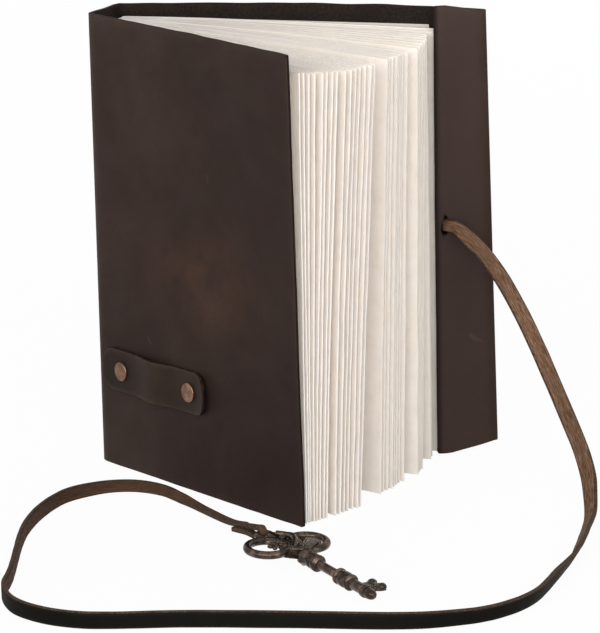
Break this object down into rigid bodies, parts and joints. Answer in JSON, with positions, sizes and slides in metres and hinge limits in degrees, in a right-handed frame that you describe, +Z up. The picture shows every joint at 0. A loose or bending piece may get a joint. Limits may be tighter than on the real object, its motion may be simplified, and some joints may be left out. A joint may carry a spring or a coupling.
{
  "type": "leather wrap journal",
  "caption": "Leather wrap journal standing half open, with fold-over flap, fanned leaves, a riveted keeper strap and a leather thong ending in a skeleton key.",
  "frame": {"origin": "on the table under the middle of the standing journal, without the thong and key", "axes": "+Z up along the spine, +X along the back cover from the spine to the flap, +Y out of the back cover's outer face"},
  "size_m": [0.2231, 0.2478, 0.188],
  "materials": {
    "cover_leather": "dark brown waxed leather, matte with soft sheen",
    "thong_leather": "brown leather lace, fibrous flesh side",
    "paper": "cream uncoated paper",
    "lining_cloth": "plain cotton",
    "linen_thread": "waxed linen",
    "copper": "aged copper caps",
    "bronze": "antique bronze casting"
  },
  "bodies": {
    "back_cover": {"back_cover": "cover_leather", "rear_fold": "cover_leather", "flap_fold": "cover_leather", "back_endpaper": "paper", "thong_lying": "thong_leather", "thong_end_loop": "thong_leather", "key": "bronze"},
    "spine": {"spine_panel": "cover_leather", "front_fold": "cover_leather", "spine_lining": "lining_cloth", "stitch_1": "linen_thread", "stitch_2": "linen_thread", "stitch_3": "linen_thread", "stitch_4": "linen_thread", "stitch_5": "linen_thread"},
    "front_cover": {"front_cover": "cover_leather", "front_endpaper": "paper", "keeper_strap": "cover_leather", "rivet_1": "copper", "rivet_2": "copper", "rivet_back_1": "copper", "rivet_back_2": "copper"},
    "flap": {"flap": "cover_leather", "thong_hanging": "thong_leather", "thong_knot": "thong_leather"},
    "leaves_01": {"leaves_01": "paper"},
    "leaves_02": {"leaves_02": "paper"},
    "leaves_03": {"leaves_03": "paper"},
    "leaves_04": {"leaves_04": "paper"},
    "leaves_05": {"leaves_05": "paper"},
    "leaves_06": {"leaves_06": "paper"},
    "leaves_07": {"leaves_07": "paper"},
    "leaves_08": {"leaves_08": "paper"},
    "leaves_09": {"leaves_09": "paper"},
    "leaves_10": {"leaves_10": "paper"},
    "leaves_11": {"leaves_11": "paper"},
    "leaves_12": {"leaves_12": "paper"},
    "leaves_13": {"leaves_13": "paper"},
    "leaves_14": {"leaves_14": "paper"},
    "leaves_15": {"leaves_15": "paper"},
    "leaves_16": {"leaves_16": "paper"}
  },
  "joints": [
    {"name": "front_cover_hinge", "type": "hinge", "parent": "spine", "child": "front_cover", "pos_m": [-0.07818, 0.03637, 0], "axis": [0, 0, 1], "range_deg": [-70, 26.2], "deforming": ["thong_lying", "thong_end_loop"]},
    {"name": "spine_hinge", "type": "hinge", "parent": "back_cover", "child": "spine", "pos_m": [-0.07041, 0.0576, 0], "axis": [0, 0, 1], "range_deg": [-53.72, 20.11]},
    {"name": "flap_hinge", "type": "hinge", "parent": "back_cover", "child": "flap", "pos_m": [0.07863, 0.0576, 0], "axis": [0, 0, 1], "range_deg": [0, 155], "deforming": ["thong_hanging"]},
    {"name": "leaves_01_hinge", "type": "hinge", "parent": "spine", "child": "leaves_01", "pos_m": [-0.07681, 0.03662, 0], "axis": [0, 0, 1], "range_deg": [-64.94, 24.31]},
    {"name": "leaves_02_hinge", "type": "hinge", "parent": "spine", "child": "leaves_02", "pos_m": [-0.0762, 0.03791, 0], "axis": [0, 0, 1], "range_deg": [-61.73, 23.11]},
    {"name": "leaves_03_hinge", "type": "hinge", "parent": "spine", "child": "leaves_03", "pos_m": [-0.07562, 0.0392, 0], "axis": [0, 0, 1], "range_deg": [-57.46, 21.52]},
    {"name": "leaves_04_hinge", "type": "hinge", "parent": "spine", "child": "leaves_04", "pos_m": [-0.07505, 0.04049, 0], "axis": [0, 0, 1], "range_deg": [-53.18, 19.92]},
    {"name": "leaves_05_hinge", "type": "hinge", "parent": "spine", "child": "leaves_05", "pos_m": [-0.0745, 0.04179, 0], "axis": [0, 0, 1], "range_deg": [-47.31, 17.72]},
    {"name": "leaves_06_hinge", "type": "hinge", "parent": "spine", "child": "leaves_06", "pos_m": [-0.07396, 0.0431, 0], "axis": [0, 0, 1], "range_deg": [-41.43, 15.51]},
    {"name": "leaves_07_hinge", "type": "hinge", "parent": "spine", "child": "leaves_07", "pos_m": [-0.07344, 0.04442, 0], "axis": [0, 0, 1], "range_deg": [-35.55, 13.32]},
    {"name": "leaves_08_hinge", "type": "hinge", "parent": "spine", "child": "leaves_08", "pos_m": [-0.07294, 0.04574, 0], "axis": [0, 0, 1], "range_deg": [-29.67, 11.11]},
    {"name": "leaves_09_hinge", "type": "hinge", "parent": "spine", "child": "leaves_09", "pos_m": [-0.07246, 0.04706, 0], "axis": [0, 0, 1], "range_deg": [-20.05, 7.52]},
    {"name": "leaves_10_hinge", "type": "hinge", "parent": "spine", "child": "leaves_10", "pos_m": [-0.07199, 0.0484, 0], "axis": [0, 0, 1], "range_deg": [-12.44, 4.67]},
    {"name": "leaves_11_hinge", "type": "hinge", "parent": "spine", "child": "leaves_11", "pos_m": [-0.07154, 0.04973, 0], "axis": [0, 0, 1], "range_deg": [-4.82, 1.82]},
    {"name": "leaves_12_hinge", "type": "hinge", "parent": "spine", "child": "leaves_12", "pos_m": [-0.0711, 0.05108, 0], "axis": [0, 0, 1], "range_deg": [-3.51, 9.37]},
    {"name": "leaves_13_hinge", "type": "hinge", "parent": "spine", "child": "leaves_13", "pos_m": [-0.07068, 0.05243, 0], "axis": [0, 0, 1], "range_deg": [-6.71, 17.92]},
    {"name": "leaves_14_hinge", "type": "hinge", "parent": "spine", "child": "leaves_14", "pos_m": [-0.07028, 0.05379, 0], "axis": [0, 0, 1], "range_deg": [-9.91, 26.47]},
    {"name": "leaves_15_hinge", "type": "hinge", "parent": "spine", "child": "leaves_15", "pos_m": [-0.06989, 0.05515, 0], "axis": [0, 0, 1], "range_deg": [-14.31, 38.22]},
    {"name": "leaves_16_hinge", "type": "hinge", "parent": "spine", "child": "leaves_16", "pos_m": [-0.06953, 0.05652, 0], "axis": [0, 0, 1], "range_deg": [-16.91, 45.17]}
  ],
  "couplings": [
    {"joint": "spine_hinge", "follows": "front_cover_hinge", "ratio": 0.76718},
    {"joint": "leaves_01_hinge", "follows": "front_cover_hinge", "ratio": 0.92748},
    {"joint": "leaves_02_hinge", "follows": "front_cover_hinge", "ratio": 0.88168},
    {"joint": "leaves_03_hinge", "follows": "front_cover_hinge", "ratio": 0.82061},
    {"joint": "leaves_04_hinge", "follows": "front_cover_hinge", "ratio": 0.75954},
    {"joint": "leaves_05_hinge", "follows": "front_cover_hinge", "ratio": 0.67557},
    {"joint": "leaves_06_hinge", "follows": "front_cover_hinge", "ratio": 0.5916},
    {"joint": "leaves_07_hinge", "follows": "front_cover_hinge", "ratio": 0.50763},
    {"joint": "leaves_08_hinge", "follows": "front_cover_hinge", "ratio": 0.42366},
    {"joint": "leaves_09_hinge", "follows": "front_cover_hinge", "ratio": 0.28626},
    {"joint": "leaves_10_hinge", "follows": "front_cover_hinge", "ratio": 0.17748},
    {"joint": "leaves_11_hinge", "follows": "front_cover_hinge", "ratio": 0.0687},
    {"joint": "leaves_12_hinge", "follows": "front_cover_hinge", "ratio": -0.13359},
    {"joint": "leaves_13_hinge", "follows": "front_cover_hinge", "ratio": -0.25573},
    {"joint": "leaves_14_hinge", "follows": "front_cover_hinge", "ratio": -0.37786},
    {"joint": "leaves_15_hinge", "follows": "front_cover_hinge", "ratio": -0.5458},
    {"joint": "leaves_16_hinge", "follows": "front_cover_hinge", "ratio": -0.64504}
  ]
}
